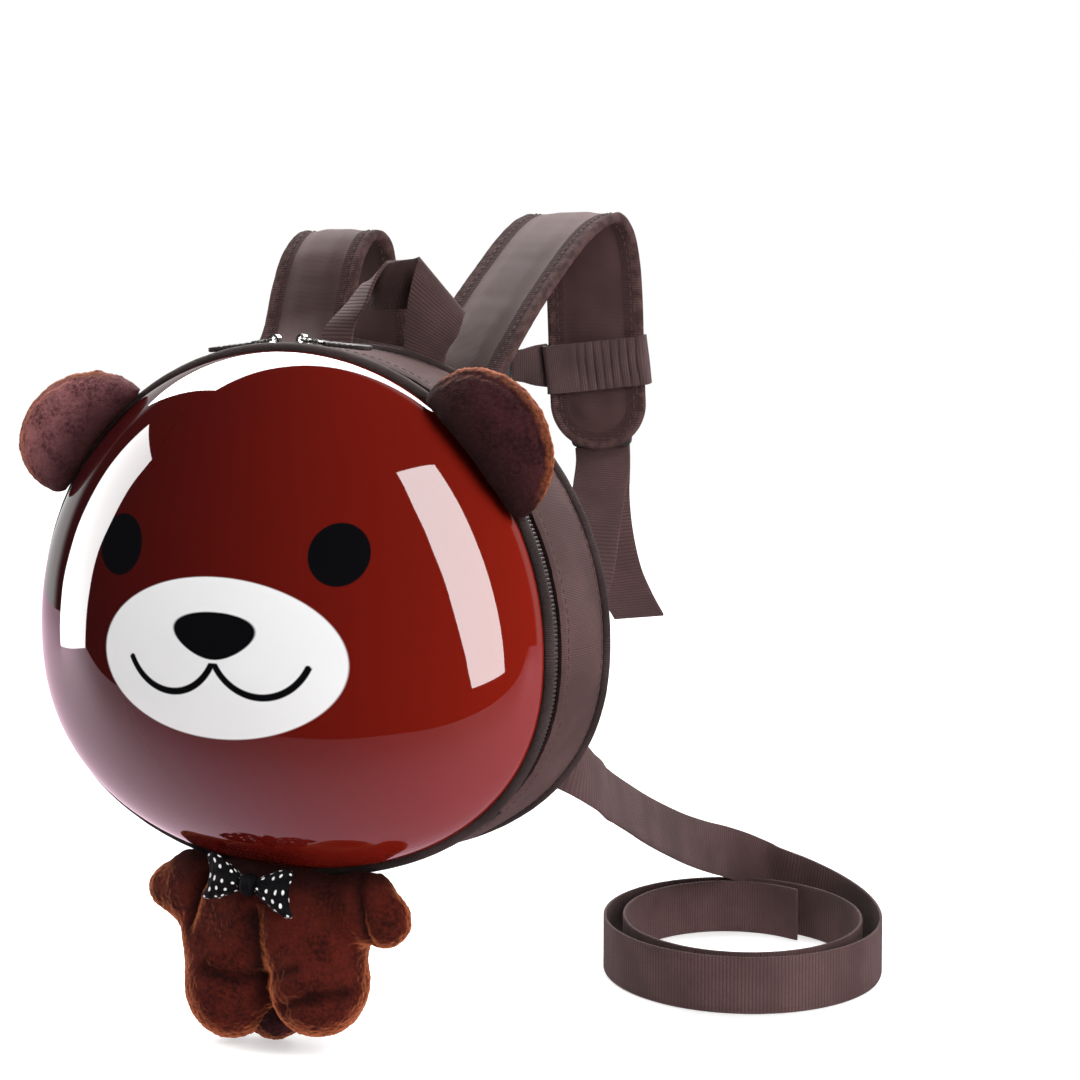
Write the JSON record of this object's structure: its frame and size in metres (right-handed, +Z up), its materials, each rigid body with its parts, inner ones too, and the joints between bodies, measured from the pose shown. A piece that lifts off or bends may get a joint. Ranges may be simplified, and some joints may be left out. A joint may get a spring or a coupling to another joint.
{
  "type": "hard shell backpack",
  "caption": "Small hard shell backpack with a domed animal face, zipped cloth gusset, padded shoulder straps, chest strap, webbing leash, plush ears and a plush body hanging below.",
  "frame": {"origin": "underside of the top of the haul handle's loop, where the bag hangs on a hook or a hand", "axes": "+X to the right of the face as seen from the front, +Y from the face to the wearer's back, +Z up"},
  "size_m": [0.3084, 0.3489, 0.3466],
  "materials": {
    "shell": "moulded plastic with a clear gloss coat over a printed animal face",
    "piping": "folded woven tape",
    "zip_coil": "nylon coil",
    "cloth": "tightly woven cloth over thin foam",
    "webbing": "ribbed webbing",
    "metal": "bright plated die casting and wire",
    "pull_tab": "moulded soft plastic",
    "plush": "short pile plush over stuffing",
    "ear": "short pile plush over stuffing",
    "bow": "woven ribbon with printed dots",
    "plastic": "moulded buckle plastic"
  },
  "bodies": {
    "bag": {"front_shell": "shell", "front_piping": "piping", "zip_tape": "piping", "zip_chain": "zip_coil", "gusset": "cloth", "back_piping": "piping", "back_panel": "cloth", "haul_handle": "webbing", "leash": "webbing", "chest_buckle": "plastic", "plush_body": "plush", "plush_tail": "plush", "bow_knot": "bow", "bow_left": "bow", "bow_right": "bow", "zip_slider_left": "metal", "zip_slider_right": "metal", "zip_end_left": "piping", "zip_end_right": "piping", "shoulder_strap_left": "cloth", "shoulder_strap_right": "cloth", "strap_adjuster_left": "plastic", "strap_adjuster_right": "plastic", "strap_webbing_left": "webbing", "strap_webbing_right": "webbing", "strap_tail_left": "webbing", "strap_tail_right": "webbing", "chest_band_left": "webbing", "chest_band_right": "webbing", "chest_strap_left": "webbing", "chest_strap_right": "webbing", "ear_left": "ear", "ear_right": "ear"},
    "left_pull": {"zip_pull_ring_left": "metal", "zip_pull_tab_left": "pull_tab"},
    "right_pull": {"zip_pull_ring_right": "metal", "zip_pull_tab_right": "pull_tab"}
  },
  "joints": [
    {"name": "left_pull_hinge", "type": "hinge", "parent": "bag", "child": "left_pull", "pos_m": [-0.02975, -0.0508, -0.03168], "axis": [0, 1, 0], "range_deg": [0, 100]},
    {"name": "right_pull_hinge", "type": "hinge", "parent": "bag", "child": "right_pull", "pos_m": [-0.01688, -0.0508, -0.03146], "axis": [0, -1, 0], "range_deg": [0, 100]}
  ]
}
